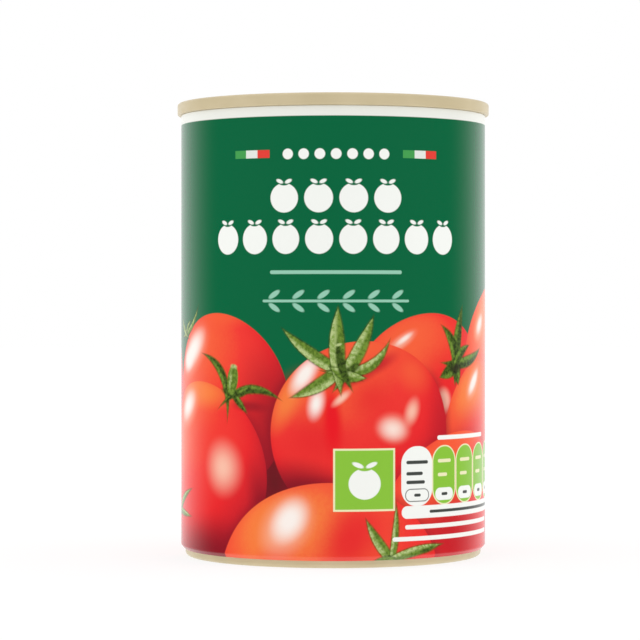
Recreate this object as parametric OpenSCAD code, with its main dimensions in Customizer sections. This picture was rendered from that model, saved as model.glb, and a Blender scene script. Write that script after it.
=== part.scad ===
// Full-size grocery tin with a drawn body, a seamed easy-open end, a ring pull and a paper label.
// The tin stands on the z = 0 plane, its axis is the z axis and the front of its label faces -y.

/* [Body] */
// Height of the closed tin, from the standing ring to the crest of the seam
can_h = 109; // [90:0.5:132]
// Outside diameter of the bare wall
body_d = 73.3; // [60:0.1:100]
// Thickness of the wall where it stands round the end
wall_t = 0.3; // [0.2:0.05:0.35]

/* [Base] */
// How far the neck of the base lies inside the wall
neck_in = 0.9; // [0.5:0.05:2]
// Height of the neck, from the standing ring to the shoulder
neck_h = 1.75; // [1.3:0.05:4]
// Height of the sloping shoulder between the neck and the wall
shoulder_h = 0.95; // [0.5:0.05:3]
// Radius of the rounded corner between the neck and the standing ring
corner_r = 1; // [0.4:0.05:1.2]
// Width of the flat ring that the tin stands on
foot_w = 1.4; // [0.8:0.1:3]
// Depth of the base panel above the standing ring
base_drop = 2.4; // [1.2:0.1:4]
// Diameter of the outer ridge on the base panel
base_bead_d = 57; // [40:0.5:58]
// Distance from one base ridge to the next, along the radius
base_bead_pitch = 4.5; // [3:0.25:6]
// Number of ridges on the base panel
base_bead_count = 3; // [0:1:3]

/* [Seam] */
// Height of the seam that joins the end to the body
seam_h = 2.85; // [2:0.05:3.6]
// Thickness of the seam, across its two flat sides
seam_t = 1.25; // [1.1:0.05:1.6]
// How far the seam stands out beyond the wall
seam_out = 1.05; // [0.6:0.05:1.05]
// Radius of the seam's lower outside edge
seam_edge_r = 0.35; // [0.1:0.05:0.5]

/* [End] */
// Depth of the end's panel below the crest of the seam
panel_drop = 3.1; // [2.9:0.1:5]
// How far the wall of the end leans in, from the seam down to the groove
chuck_in = 0.4; // [0.2:0.05:0.8]
// Width of the groove round the panel
groove_w = 1.1; // [0.7:0.05:2]
// Depth of the groove, below the panel
groove_h = 1.4; // [1.4:0.1:3]
// Thickness of the plate under the groove
plate_t = 0.3; // [0.2:0.05:0.6]
// Distance from the panel's edge to the score line
score_in = 1.9; // [1.5:0.1:3]
// Width of the score line
score_w = 0.3; // [0.2:0.05:0.5]
// Depth of the score line
score_h = 0.15; // [0.1:0.05:0.3]
// Distance from the panel's edge to the sunk middle of the panel
sunk_in = 6; // [4.5:0.25:8]
// Depth of the sunk middle of the panel
sunk_h = 0.45; // [0.2:0.05:0.45]
// Diameter of the ridge round the middle of the panel
panel_bead_d = 46; // [40:0.5:48]
// Width of the ridges on the panel and on the base
bead_w = 2; // [1.5:0.1:2.5]
// Height of the ridges on the panel and on the base
bead_h = 0.4; // [0.2:0.05:0.4]
// Radius of the round dish under the finger hole
well_r = 9.5; // [7:0.25:10]
// Depth of the round dish, below the sunk middle of the panel
well_h = 0.8; // [0.3:0.05:0.85]
// How far the dish's curve would run on past its edge, which leaves a small step there
well_lip = 0.3; // [0.2:0.05:1]

/* [Ring pull] */
// Length of the ring pull, from its ring end to its nose
tab_l = 27; // [25:0.25:30]
// Width of the ring
tab_w = 20.4; // [18:0.2:22]
// Width of the nose
nose_w = 15; // [12:0.25:17]
// Radius of the nose's two corners
nose_r = 3.8; // [2.5:0.1:4.5]
// Thickness of the ring pull at its curled edge
tab_t = 1.7; // [1.2:0.05:1.7]
// Width of the band round the finger hole
band_w = 3.4; // [2.5:0.1:4]
// Distance from the nose to the middle of the rivet
rivet_in = 6; // [5.5:0.25:7]
// Gap along the radius between the nose and the score line
nose_gap = 0.5; // [0.2:0.1:1.5]
// Height of the round boss that the ring pull sits on, above the panel
boss_h = 0.1; // [0.05:0.05:0.3]
// Radius of the round boss under the ring pull
boss_r = 3.2; // [2.6:0.1:4]
// Radius of the rivet's head
rivet_r = 2.5; // [2:0.1:3]
// Thickness of the rivet's head
rivet_t = 0.45; // [0.3:0.05:0.6]
// Radius of the rivet's stem
stem_r = 1.5; // [1.2:0.1:1.8]
// Gap between the rivet's stem and its hole
stem_gap = 0.05; // [0.02:0.01:0.2]
// Thickness of the thin web held under the rivet's head
web_t = 0.45; // [0.3:0.05:0.6]
// Width of the curled edge beside the web
web_edge = 2.2; // [1.8:0.1:2.4]
// Width of the bar between the finger hole and the web
bar_w = 2; // [1.5:0.1:2.5]
// Radius of the curved slot in the web, round the rivet
slot_r = 3.6; // [3.2:0.1:3.7]
// Distance from the curved slot to the bar
slot_gap = 0.25; // [0.1:0.05:0.4]
// Width of the curved slot
slot_w = 0.6; // [0.3:0.05:0.6]

/* [Label] */
// Thickness of the paper
label_t = 0.15; // [0.1:0.01:0.3]
// Gap between the label and the seam above it
label_gap = 0.1; // [0.05:0.05:2]
// Height of the label's lower edge above the shoulder's lower edge
label_tail = 0.1; // [0.05:0.05:0.4]
// Width of the strip at the back where the label overlaps itself
lap_w = 9; // [4:0.5:14]
// How far the overlap is pressed into the paper under it
lap_press = 0.05; // [0.02:0.01:0.08]

/* [Hidden] */
$fn = 128;

tinplate = [0.74, 0.69, 0.56];
bright_tin = [0.78, 0.78, 0.77];
label_green = [0.01, 0.42, 0.26];

far = 2 * body_d;

body_r = body_d / 2;
neck_r = body_r - neck_in;
shoulder_top_z = neck_h + shoulder_h;
foot_out_r = neck_r - corner_r;
foot_in_r = foot_out_r - foot_w;

seam_r = body_r + seam_out;
seam_z = can_h - seam_h;
crest_z = can_h - seam_t / 2;
seam_in_r = seam_r - seam_t;

panel_z = can_h - panel_drop;
groove_z = panel_z - groove_h;
end_z = groove_z - plate_t;
bore_r = body_r - wall_t;
groove_out_r = seam_in_r - chuck_in;
panel_r = groove_out_r - groove_w;
score_r = panel_r - score_in;
sunk_r = panel_r - sunk_in;
sunk_z = panel_z - sunk_h;
boss_z = panel_z + boss_h;

ring_r = tab_w / 2;
curl_r = tab_t / 2;
nose_y = score_r - nose_gap;
rivet_y = nose_y - rivet_in;
ring_y = nose_y - tab_l + ring_r;
corner_x = nose_w / 2 - nose_r;
corner_y = nose_y - nose_r;
web_y = rivet_y - slot_r - slot_gap;
hole_top_y = web_y - bar_w;

shoulder_slope = atan2(shoulder_h, neck_in);
label_top_z = seam_z - label_gap;
lap_angle = lap_w / body_r * 180 / PI;

// Radius of the circle through an arched ridge of this width and height
function arch_r(w, h) = (w * w / 4 + h * h) / (2 * h);

// Direction, seen from the ring's middle, of the point where the straight side leaves the ring
function side_turn(r1, r2, dx, dy) = atan2(dy, dx) - acos((r1 - r2) / norm([dx, dy]));

side_angle = side_turn(ring_r, nose_r, corner_x, corner_y - ring_y);

// Point of a circle about [x, y], in the direction of an angle
function on_circle(x, y, r, angle) = [x + r * cos(angle), y + r * sin(angle)];

// Half-plane above a height, for profiles
module above(z) {
    translate([0, z]) square([far, far]);
}

// Profile of an arched ridge that stands up from height z at radius r
module ridge_profile(r, z) {
    ridge_r = arch_r(bead_w, bead_h);
    intersection() {
        translate([r, z + bead_h - ridge_r]) circle(r = ridge_r);
        above(z);
    }
}

// What a rounded outside edge takes off a square corner at the origin, on its +x, -y side
module edge_off(r) {
    difference() {
        translate([-r, 0]) square([r, r]);
        translate([-r, r]) circle(r = r);
    }
}

// Profile of the wall and the neck, out to the bare metal's outside
module shell_profile() {
    polygon([
        [0, 0], [neck_r, 0], [neck_r, neck_h], [body_r, shoulder_top_z],
        [body_r, seam_z], [bore_r, seam_z], [bore_r, end_z], [0, end_z]
    ]);
}

// Hollow under the base panel, with the ridges that stand down into it
module base_hollow_profile() {
    difference() {
        square([foot_in_r, base_drop]);
        for (i = [0 : 1 : base_bead_count - 1])
            translate([0, base_drop]) mirror([0, 1])
                ridge_profile(base_bead_d / 2 - i * base_bead_pitch, 0);
    }
}

// Drawn body, closed: wall, shoulder, neck, standing ring and ridged base panel
module can_body() {
    color(tinplate) rotate_extrude() difference() {
        shell_profile();
        base_hollow_profile();
        translate([neck_r, 0]) edge_off(corner_r);
    }
}

// Seam with a half-round crest and a rounded lower edge
module seam_profile() {
    difference() {
        translate([seam_in_r, seam_z]) square([seam_t, crest_z - seam_z]);
        translate([seam_r, seam_z]) edge_off(seam_edge_r);
    }
    translate([seam_in_r + seam_t / 2, crest_z]) circle(d = seam_t);
}

// Plate of the end: leaning wall, groove, rim with the score line, and sunk middle
module plate_profile() {
    difference() {
        polygon([
            [0, end_z], [bore_r, end_z], [bore_r, seam_z], [seam_in_r + seam_t / 2, seam_z],
            [seam_in_r + seam_t / 2, crest_z], [seam_in_r, crest_z], [groove_out_r, groove_z],
            [panel_r, groove_z], [panel_r, panel_z], [sunk_r, panel_z],
            [sunk_r - sunk_h, sunk_z], [0, sunk_z]
        ]);
        translate([score_r, panel_z - score_h]) square([score_w, far]);
    }
    ridge_profile(panel_bead_d / 2, sunk_z);
}

// Round dish under the finger hole, cut up through the ridge that it crosses
module finger_well() {
    dish_r = arch_r(2 * (well_r + well_lip), well_h);
    translate([0, ring_y, sunk_z - well_h]) intersection() {
        translate([0, 0, dish_r]) sphere(r = dish_r);
        cylinder(r = well_r, h = well_h + bead_h + boss_h);
    }
}

// Boss, stem and head of the rivet, formed from the plate, with the boss rooted below the dish
module rivet() {
    root_z = sunk_z - well_h - plate_t / 2;
    translate([0, rivet_y, 0]) {
        translate([0, 0, root_z]) cylinder(r = boss_r, h = boss_z - root_z);
        translate([0, 0, boss_z]) cylinder(r = stem_r, h = web_t);
        translate([0, 0, boss_z + web_t]) cylinder(r = rivet_r, h = rivet_t);
    }
}

// Easy-open end, seamed on, with its rivet
module can_end() {
    color(bright_tin) {
        difference() {
            rotate_extrude() {
                seam_profile();
                plate_profile();
            }
            finger_well();
        }
        rivet();
    }
}

// Outline of the ring pull, drawn in from its outside by a margin
module tab_outline(margin) {
    r1 = ring_r - margin;
    r2 = nose_r - margin;
    side = [
        on_circle(0, ring_y, r1, side_angle),
        on_circle(corner_x, corner_y, r2, side_angle)
    ];
    translate([0, ring_y]) circle(r = r1);
    for (s = [-1, 1]) translate([s * corner_x, corner_y]) circle(r = r2);
    polygon([
        side[0], side[1], [corner_x, corner_y], [corner_x, corner_y + r2],
        [-corner_x, corner_y + r2], [-corner_x, corner_y],
        [-side[1][0], side[1][1]], [-side[0][0], side[0][1]], [0, ring_y]
    ]);
}

// Three round-edged rings whose hull is the blank of the ring pull, level with z = 0
module tab_blank() {
    corners = [[0, ring_y, ring_r], [corner_x, corner_y, nose_r], [-corner_x, corner_y, nose_r]];
    hull() for (c = corners) translate([c[0], c[1], 0])
        rotate_extrude($fn = 72) translate([c[2] - curl_r, 0]) circle(r = curl_r, $fn = 20);
}

// Finger hole: round, with a straight side towards the rivet
module finger_hole() {
    difference() {
        translate([0, ring_y]) circle(r = ring_r - band_w);
        translate([-far / 2, hole_top_y]) square(far);
    }
}

// Curved slot round the rivet, open towards the nose
module web_slot() {
    translate([0, rivet_y]) difference() {
        circle(r = slot_r);
        circle(r = slot_r - slot_w);
        translate([-far / 2, 0]) square(far);
    }
}

// Outline of the sunk web between the bar and the nose
module web_outline() {
    difference() {
        tab_outline(web_edge);
        translate([-far / 2, web_y - far]) square(far);
    }
}

// Ring pull: curled edge, finger hole, and the sunk web under the rivet's head
module ring_pull() {
    color(bright_tin) difference() {
        translate([0, 0, boss_z + curl_r]) tab_blank();
        translate([0, 0, boss_z - tab_t]) linear_extrude(3 * tab_t) {
            finger_hole();
            web_slot();
            translate([0, rivet_y]) circle(r = stem_r + stem_gap);
        }
        translate([0, 0, boss_z + web_t]) linear_extrude(tab_t) web_outline();
    }
}

// Cross-section of the paper, from the shoulder up to the seam
module label_profile() {
    tail_r = neck_r + label_tail / tan(shoulder_slope);
    tail_z = neck_h + label_tail;
    bend_out = label_t * tan(shoulder_slope / 2);
    polygon([
        [body_r, label_top_z], [body_r, shoulder_top_z], [tail_r, tail_z],
        [tail_r + label_t * sin(shoulder_slope), tail_z - label_t * cos(shoulder_slope)],
        [body_r + label_t, shoulder_top_z - bend_out], [body_r + label_t, label_top_z]
    ]);
}

// Paper label round the whole tin, with its glued overlap at the back
module label() {
    color(label_green) {
        rotate([0, 0, -90]) rotate_extrude() label_profile();
        rotate([0, 0, 90 - lap_angle / 2]) rotate_extrude(angle = lap_angle)
            translate([label_t - lap_press, 0]) label_profile();
    }
}

can_body();
can_end();
ring_pull();
label();
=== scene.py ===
"""Looks of a full-size food tin: drawn body, seamed end, ring pull and printed paper label.

Lengths are in metres unless a name or comment says millimetres. The tin's axis is the z axis and the
front of its label faces -y. The label's print is laid out in millimetres: s runs round the tin to the
right of the front's middle line, and z is the height above the ground.
"""
import math

import bmesh
import bpy
import numpy as np
from mathutils import Matrix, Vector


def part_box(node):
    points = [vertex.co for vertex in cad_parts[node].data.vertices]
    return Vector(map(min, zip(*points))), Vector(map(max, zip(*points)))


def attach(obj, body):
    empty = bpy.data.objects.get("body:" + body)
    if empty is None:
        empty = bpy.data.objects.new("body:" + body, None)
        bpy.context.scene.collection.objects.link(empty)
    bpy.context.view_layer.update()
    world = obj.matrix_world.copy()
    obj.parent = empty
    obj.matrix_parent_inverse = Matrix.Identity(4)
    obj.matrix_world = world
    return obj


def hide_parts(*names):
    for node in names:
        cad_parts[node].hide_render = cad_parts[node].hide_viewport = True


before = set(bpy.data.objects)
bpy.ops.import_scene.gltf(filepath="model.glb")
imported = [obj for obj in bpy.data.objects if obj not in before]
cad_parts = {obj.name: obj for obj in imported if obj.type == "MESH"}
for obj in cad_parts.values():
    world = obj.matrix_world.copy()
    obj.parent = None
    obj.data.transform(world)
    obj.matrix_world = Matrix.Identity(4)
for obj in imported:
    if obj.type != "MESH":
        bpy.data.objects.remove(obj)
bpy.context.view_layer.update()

MM = 0.001
TURN = 2 * math.pi

# ---------------------------------------------------------------- sizes read from the frame
body_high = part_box("can_body")[1]
end_low, end_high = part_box("can_end")
wrap_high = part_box("label")[1]
tab_low, tab_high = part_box("ring_pull")

BODY_R = body_high.x
SEAM_R = end_high.x
WRAP_R = wrap_high.x
CREST_Z = end_high.z
SEAM_Z = body_high.z
PAPER = WRAP_R - BODY_R
WRAP_TOP_Z = wrap_high.z

# Sizes that the boxes don't give. The body: neck, shoulder and base
NECK_IN = 0.9 * MM
NECK_H = 1.75 * MM
SHOULDER_H = 0.95 * MM
CORNER_R = 1.0 * MM
FOOT_W = 1.4 * MM
BASE_DROP = 2.4 * MM
BASE_RIDGES = (28.5 * MM, 24.0 * MM, 19.5 * MM)
RIDGE_H = 0.4 * MM
RIDGE_HALF = 1.1 * MM
BODY_WALL = 0.3 * MM

# The end: seam, leaning wall, groove, score line, ridge and sunk middle
SEAM_T = 1.25 * MM
PANEL_DROP = 3.1 * MM
GROOVE_H = 1.4 * MM
GROOVE_W = 1.1 * MM
CHUCK_IN = 0.4 * MM
SUNK_IN = 6.0 * MM
SUNK_H = 0.45 * MM
SCORE_IN = 1.9 * MM
SCORE_DEPTH = 0.13 * MM
SCORE_LIP_H = 0.1 * MM
PANEL_RIDGE_R = 23.0 * MM
DISH_R = 9.5 * MM
DISH_DROP = 0.8 * MM

# The rivet and its boss
RIVET_IN = 6.0 * MM
STEM_R = 1.5 * MM
HEAD_R = 2.5 * MM
HEAD_T = 0.45 * MM
BOSS_R = 2.9 * MM
BOSS_FOOT_R = 3.7 * MM

# The ring pull
NOSE_R = 3.8 * MM
NOSE_HALF = 7.5 * MM
BAND_W = 3.4 * MM
BAND_T = 1.7 * MM
CURL_R = 0.7 * MM
BAND_DENT = 0.35 * MM
WEB_T = 0.45 * MM
WEB_EDGE = 2.2 * MM
WEB_OVERLAP = 0.9 * MM
SLOT_R = 3.6 * MM
SLOT_W = 0.6 * MM
SLOT_GAP = 0.25 * MM
BAR_W = 2.0 * MM
EYE_GAP = 0.08 * MM

# The label: its overlap's width and rise, the rise as a share of the paper's thickness, and how far
# its lower edge stays above the shoulder's lower edge
LAP_W = 9.0 * MM
LAP_RISE = 0.62
TAIL = 0.1 * MM

# Flat steps in a full turn, the step between a panel's rings, and the angle in degrees from which
# an edge stays sharp
ROUND_STEPS = 288
RIVET_STEPS = 72
LABEL_STEPS = 360
RING_STEP = 0.3 * MM
CREASE = 50


# ---------------------------------------------------------------- mesh helpers
def arc(centre_r, centre_z, radius, start, end, steps):
    """Points of an arc in the (r, z) half-plane, from one angle in degrees to another."""
    turns = [math.radians(start + (end - start) * i / steps) for i in range(steps + 1)]
    return [(centre_r + radius * math.cos(t), centre_z + radius * math.sin(t)) for t in turns]


def link_object(name, data):
    """Object of that name in the scene."""
    made = bpy.data.objects.new(name, data)
    bpy.context.collection.objects.link(made)
    return made


def finish_mesh(name, mesh_build):
    """Turns a bmesh into a smooth-shaded object with its creases kept sharp."""
    bmesh.ops.recalc_face_normals(mesh_build, faces=mesh_build.faces)
    mesh = bpy.data.meshes.new(name)
    mesh_build.to_mesh(mesh)
    mesh_build.free()
    mesh.shade_smooth()
    mesh.set_sharp_from_angle(angle=math.radians(CREASE))
    return link_object(name, mesh)


def round_places(r, count):
    """Even (x, y) places round the axis, from the front, or one place if it is on the axis."""
    if r < 0.001 * MM:
        return [(0.0, 0.0)]
    turns = [TURN * i / count for i in range(count)]
    return [(r * math.sin(turn), -r * math.cos(turn)) for turn in turns]


def level(x, y, z):
    """Leaves a point at its height."""
    return z


def turned(name, profile, segments=ROUND_STEPS, lift=level):
    """Closed solid of revolution from a profile that starts and ends on the axis.

    lift(x, y, z) gives a point's new height, to press shapes into a round plate."""
    build = bmesh.new()
    rings = [[build.verts.new((x, y, lift(x, y, z))) for x, y in round_places(r, segments)]
             for r, z in profile]
    for lower, upper in zip(rings, rings[1:]):
        for i in range(segments):
            j = (i + 1) % segments
            if len(lower) == 1:
                build.faces.new((lower[0], upper[j], upper[i]))
            elif len(upper) == 1:
                build.faces.new((lower[i], lower[j], upper[0]))
            else:
                build.faces.new((lower[i], lower[j], upper[j], upper[i]))
    return finish_mesh(name, build)


def smooth_step(x, low, high):
    """0 below low, 1 above high, and a smooth ramp between them."""
    t = min(1.0, max(0.0, (x - low) / (high - low)))
    return t * t * (3 - 2 * t)


def hump(x, centre, half_width):
    """1 at the centre, falling smoothly to 0 at half_width on both sides."""
    t = abs(x - centre) / half_width
    return 0.0 if t >= 1 else 0.5 + 0.5 * math.cos(math.pi * t)


# ---------------------------------------------------------------- metal pieces
NECK_R = BODY_R - NECK_IN
SHOULDER_Z = NECK_H + SHOULDER_H
FOOT_OUT_R = NECK_R - CORNER_R
FOOT_IN_R = FOOT_OUT_R - FOOT_W
SEAM_IN_R = SEAM_R - SEAM_T
CREST_MID_Z = CREST_Z - SEAM_T / 2
PANEL_Z = CREST_Z - PANEL_DROP
GROOVE_Z = PANEL_Z - GROOVE_H
GROOVE_OUT_R = SEAM_IN_R - CHUCK_IN
PANEL_R = GROOVE_OUT_R - GROOVE_W
SCORE_R = PANEL_R - SCORE_IN
SUNK_R = PANEL_R - SUNK_IN
SUNK_Z = PANEL_Z - SUNK_H
BORE_R = BODY_R - BODY_WALL

TAB_BOTTOM_Z = tab_low.z
TAB_TOP_Z = TAB_BOTTOM_Z + BAND_T
NOSE_Y = tab_high.y
RING_R = tab_high.x
RING_Y = tab_low.y + RING_R
RIVET_Y = NOSE_Y - RIVET_IN
CORNER_X = NOSE_HALF - NOSE_R
WEB_Y = RIVET_Y - SLOT_R - SLOT_GAP
HOLE_TOP_Y = WEB_Y - BAR_W


def plain_rings(start, stop, step):
    """Values from start to stop, both included, about a step apart."""
    count = max(1, round(abs(stop - start) / step))
    return [start + (stop - start) * i / count for i in range(count + 1)]


def base_height(r):
    """Height of the base panel, with its three pressed ridges."""
    ridges = sum(hump(r, ring, RIDGE_HALF) for ring in BASE_RIDGES)
    return BASE_DROP - RIDGE_H * ridges


def make_body():
    """Drawn body: ridged base panel, standing ring, neck, shoulder and wall."""
    fillet, edge = 0.6 * MM, 0.35 * MM
    ease, rise = 0.15 * MM, 0.2 * MM
    profile = [(r, base_height(r)) for r in plain_rings(0, FOOT_IN_R - fillet, RING_STEP)]
    profile += arc(FOOT_IN_R - fillet, BASE_DROP - fillet, fillet, 90, 0, 6)[1:]
    profile += arc(FOOT_IN_R + edge, edge, edge, 180, 270, 6)
    profile += arc(FOOT_OUT_R, CORNER_R, CORNER_R, -90, 0, 10)
    profile += [(NECK_R, NECK_H - ease), (NECK_R + ease / 3, NECK_H)]
    profile += [(BODY_R - ease, SHOULDER_Z - rise), (BODY_R, SHOULDER_Z + rise)]
    profile += [(BODY_R, SEAM_Z), (BORE_R, SEAM_Z), (BORE_R, end_low.z), (0, end_low.z)]
    return turned("tin_body", profile)


def press_panel(x, y, z):
    """Presses the round dish and the rivet's boss into the sunk middle of the end's panel."""
    if z < SUNK_Z - 0.01 * MM:
        return z
    dish = math.hypot(x, y - RING_Y) / DISH_R
    inside = 1 - smooth_step(dish, 0.9, 1.02)
    z = z * (1 - inside) + (SUNK_Z - DISH_DROP * (1 - min(1, dish) ** 2)) * inside
    boss = 1 - smooth_step(math.hypot(x, y - RIVET_Y), BOSS_R, BOSS_FOOT_R)
    return max(z, z + (TAB_BOTTOM_Z - z) * boss)


def panel_height(r):
    """Height of the end's panel, from its edge to the sunk middle, with score line and ridge."""
    z = PANEL_Z - SUNK_H * (1 - smooth_step(r, SUNK_R - 0.7 * MM, SUNK_R + 0.1 * MM))
    z -= SCORE_DEPTH * hump(r, SCORE_R + 0.15 * MM, 0.3 * MM)
    z += SCORE_LIP_H * hump(r, SCORE_R - 1.1 * MM, 0.8 * MM)
    return z + RIDGE_H * hump(r, PANEL_RIDGE_R, RIDGE_HALF)


def make_end():
    """Seamed end: seam with a round crest, leaning wall, groove and pressed panel."""
    edge, groove = 0.35 * MM, 0.4 * MM
    round_over = 0.45 * MM
    profile = [(0, end_low.z), (BORE_R, end_low.z), (BORE_R, SEAM_Z)]
    profile += arc(SEAM_R - edge, SEAM_Z + edge, edge, -90, 0, 6)
    profile += arc(SEAM_R - SEAM_T / 2, CREST_MID_Z, SEAM_T / 2, 0, 180, 20)
    profile += arc(GROOVE_OUT_R - groove, GROOVE_Z + groove, groove, 0, -90, 6)
    profile += arc(PANEL_R + groove, GROOVE_Z + groove, groove, 270, 180, 6)
    profile += arc(PANEL_R - round_over, PANEL_Z - round_over, round_over, 0, 90, 6)
    inner = plain_rings(PANEL_R - round_over - 0.2 * MM, SCORE_R - 1.0 * MM, 0.12 * MM)
    inner += plain_rings(SCORE_R - 1.2 * MM, 0, RING_STEP)
    profile += [(r, panel_height(r)) for r in inner]
    return turned("tin_end", profile, lift=press_panel)


def make_rivet():
    """Stem and dimpled head of the rivet that holds the ring pull."""
    under, over, dimple = 0.15 * MM, 0.25 * MM, 0.5 * MM
    low, seat = TAB_BOTTOM_Z - 0.05 * MM, TAB_BOTTOM_Z + WEB_T
    top = seat + HEAD_T
    profile = [(0, low), (STEM_R, low), (STEM_R, seat)]
    profile += arc(HEAD_R - under, seat + under, under, -90, 0, 4)
    profile += arc(HEAD_R - over, top - over, over, 0, 90, 6)
    profile += arc(STEM_R, top - dimple, dimple, 90, 150, 5)
    profile += [(0.9 * MM, top - 0.32 * MM), (0, top - 0.34 * MM)]
    rivet = turned("rivet", profile, segments=RIVET_STEPS)
    rivet.data.transform(Matrix.Translation((0, RIVET_Y, 0)))
    return rivet


def bend(x, y, radius, start, stop, steps):
    """Points of an arc seen from above, from one angle in radians to another."""
    turns = [start + (stop - start) * k / steps for k in range(steps + 1)]
    return [(x + radius * math.cos(t), y + radius * math.sin(t)) for t in turns]


def rounded_outline(corners, steps=24):
    """Outline round three or more discs, each (x, y, radius), taken anticlockwise."""
    points = []
    for i, (x, y, r) in enumerate(corners):
        turns = []
        for px, py, pr, flip in ((*corners[i - 1], True), (*corners[(i + 1) % len(corners)], False)):
            dx, dy = (x - px, y - py) if flip else (px - x, py - y)
            r1, r2 = (pr, r) if flip else (r, pr)
            turns.append(math.atan2(dy, dx) - math.acos((r1 - r2) / math.hypot(dx, dy)))
        start, stop = turns
        while stop < start:
            stop += TURN
        points += bend(x, y, r, start, stop, steps)
    return points


def tab_corners(margin):
    """The ring's disc and the nose's two corner discs, drawn in by a margin."""
    nose_y = NOSE_Y - NOSE_R
    return [(0, RING_Y, RING_R - margin), (CORNER_X, nose_y, NOSE_R - margin),
            (-CORNER_X, nose_y, NOSE_R - margin)]


def hole_outline(grow):
    """Finger hole, round with a straight side towards the rivet, grown by a margin."""
    r = RING_R - BAND_W + grow
    top = HOLE_TOP_Y + grow
    reach = math.asin((top - RING_Y) / r)
    return bend(0, RING_Y, r, math.pi - reach, TURN + reach, 60)


def clip_below(points, y):
    """The part of a convex outline that lies above the line y."""
    kept = []
    for (x0, y0), (x1, y1) in zip(points, points[1:] + points[:1]):
        if y0 >= y:
            kept.append((x0, y0))
        if (y0 - y) * (y1 - y) < 0:
            kept.append((x0 + (x1 - x0) * (y - y0) / (y1 - y0), y))
    return kept


def window_outline(grow):
    """Opening of the band round the rivet, where the web lies, grown by a margin."""
    return clip_below(rounded_outline(tab_corners(WEB_EDGE - grow)), WEB_Y - grow)


def slot_outline():
    """Curved slot half round the rivet, on the side of the finger hole."""
    outer = bend(0, RIVET_Y, SLOT_R, math.pi, TURN, 30)
    inner = bend(0, RIVET_Y, SLOT_R - SLOT_W, math.pi, TURN, 30)
    return outer + inner[::-1]


def evaluated_mesh(thing):
    """Mesh of an object with its modifiers applied; the object itself is removed."""
    seen = thing.evaluated_get(bpy.context.evaluated_depsgraph_get())
    mesh = bpy.data.meshes.new_from_object(seen)
    bpy.data.objects.remove(thing)
    return mesh


def filled(name, outlines, low, high, bevel):
    """Flat plate between two heights, with holes where outlines lie inside the first one."""
    shape = bpy.data.curves.new(name, "CURVE")
    shape.dimensions = "2D"
    shape.fill_mode = "BOTH"
    shape.bevel_depth = bevel
    shape.bevel_resolution = 6
    shape.extrude = (high - low) / 2 - bevel
    for outline in outlines:
        spline = shape.splines.new("POLY")
        spline.points.add(len(outline) - 1)
        for point, (x, y) in zip(spline.points, outline):
            point.co = (x, y, 0, 1)
        spline.use_cyclic_u = True
    mesh = evaluated_mesh(link_object(name, shape))
    mesh.transform(Matrix.Translation((0, 0, (low + high) / 2)))
    return mesh


def nearest(points, outline):
    """Distance from each (x, y) point to the nearest point of a finely stepped outline."""
    fine, batch = 0.1 * MM, 100
    dense = []
    for (x0, y0), (x1, y1) in zip(outline, outline[1:] + outline[:1]):
        steps = max(1, int(math.hypot(x1 - x0, y1 - y0) / fine))
        dense += [(x0 + (x1 - x0) * k / steps, y0 + (y1 - y0) * k / steps) for k in range(steps)]
    dense = np.array(dense)
    best = np.full(len(points), np.inf)
    for chunk in np.array_split(dense, max(1, len(dense) // batch)):
        gaps = np.hypot(points[:, None, 0] - chunk[None, :, 0], points[:, None, 1] - chunk[None, :, 1])
        best = np.minimum(best, gaps.min(axis=1))
    return best


def tab_plates():
    """The band with its rolled edges and the flat web under it, as one mesh."""
    rim = rounded_outline(tab_corners(CURL_R))
    band = filled("band", [rim, hole_outline(CURL_R), window_outline(CURL_R)],
                  TAB_BOTTOM_Z, TAB_TOP_Z, CURL_R)
    clear = 0.01 * MM
    eye = bend(0, RIVET_Y, STEM_R + EYE_GAP, 0, TURN, 32)[:-1]
    web = filled("web", [window_outline(WEB_OVERLAP), eye, slot_outline()],
                 TAB_BOTTOM_Z + clear, TAB_BOTTOM_Z + WEB_T - clear, 0.05 * MM)
    build = bmesh.new()
    build.from_mesh(band)
    build.from_mesh(web)
    bmesh.ops.remove_doubles(build, verts=build.verts, dist=0.001 * MM)
    mesh = bpy.data.meshes.new("ring_pull_skin")
    build.to_mesh(mesh)
    build.free()
    return mesh


def make_tab():
    """Ring pull: curled band round the finger hole and the sunk web, as one closed skin."""
    plates = link_object("ring_pull_skin", tab_plates())
    remesh = plates.modifiers.new("skin", "REMESH")
    remesh.mode = "VOXEL"
    remesh.voxel_size = 0.13 * MM
    soften = plates.modifiers.new("soften", "SMOOTH")
    soften.factor = 0.5
    soften.iterations = 4
    skin = evaluated_mesh(plates)
    dent_band(skin)
    skin.shade_smooth()
    return link_object("tab", skin)


def dent_band(mesh):
    """Leaves a shallow valley along the band, between its curled edges, and stays below the top."""
    places = np.empty(len(mesh.vertices) * 3)
    mesh.vertices.foreach_get("co", places)
    places = places.reshape(-1, 3)
    edges = (rounded_outline(tab_corners(0)), hole_outline(0), window_outline(0))
    inset = np.minimum.reduce([nearest(places, edge) for edge in edges])
    valley = np.clip((inset - 0.9 * MM) / (0.7 * MM), 0, 1)
    high = places[:, 2] > TAB_TOP_Z - BAND_DENT
    places[high, 2] -= BAND_DENT * (valley * valley * (3 - 2 * valley))[high]
    places[:, 2] = np.clip(places[:, 2], TAB_BOTTOM_Z, TAB_TOP_Z)
    mesh.vertices.foreach_set("co", places.reshape(-1))
    mesh.update()


# ---------------------------------------------------------------- paper label
def lap_rise(turn):
    """How far the paper stands proud at the glued overlap, from 0 to 1; turn is 0 at the front."""
    place = (turn - math.pi) * WRAP_R
    return smooth_step(place, -LAP_W / 2 - 1.5 * MM, -LAP_W / 2 + 0.5 * MM) * (place <= LAP_W / 2)


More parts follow.
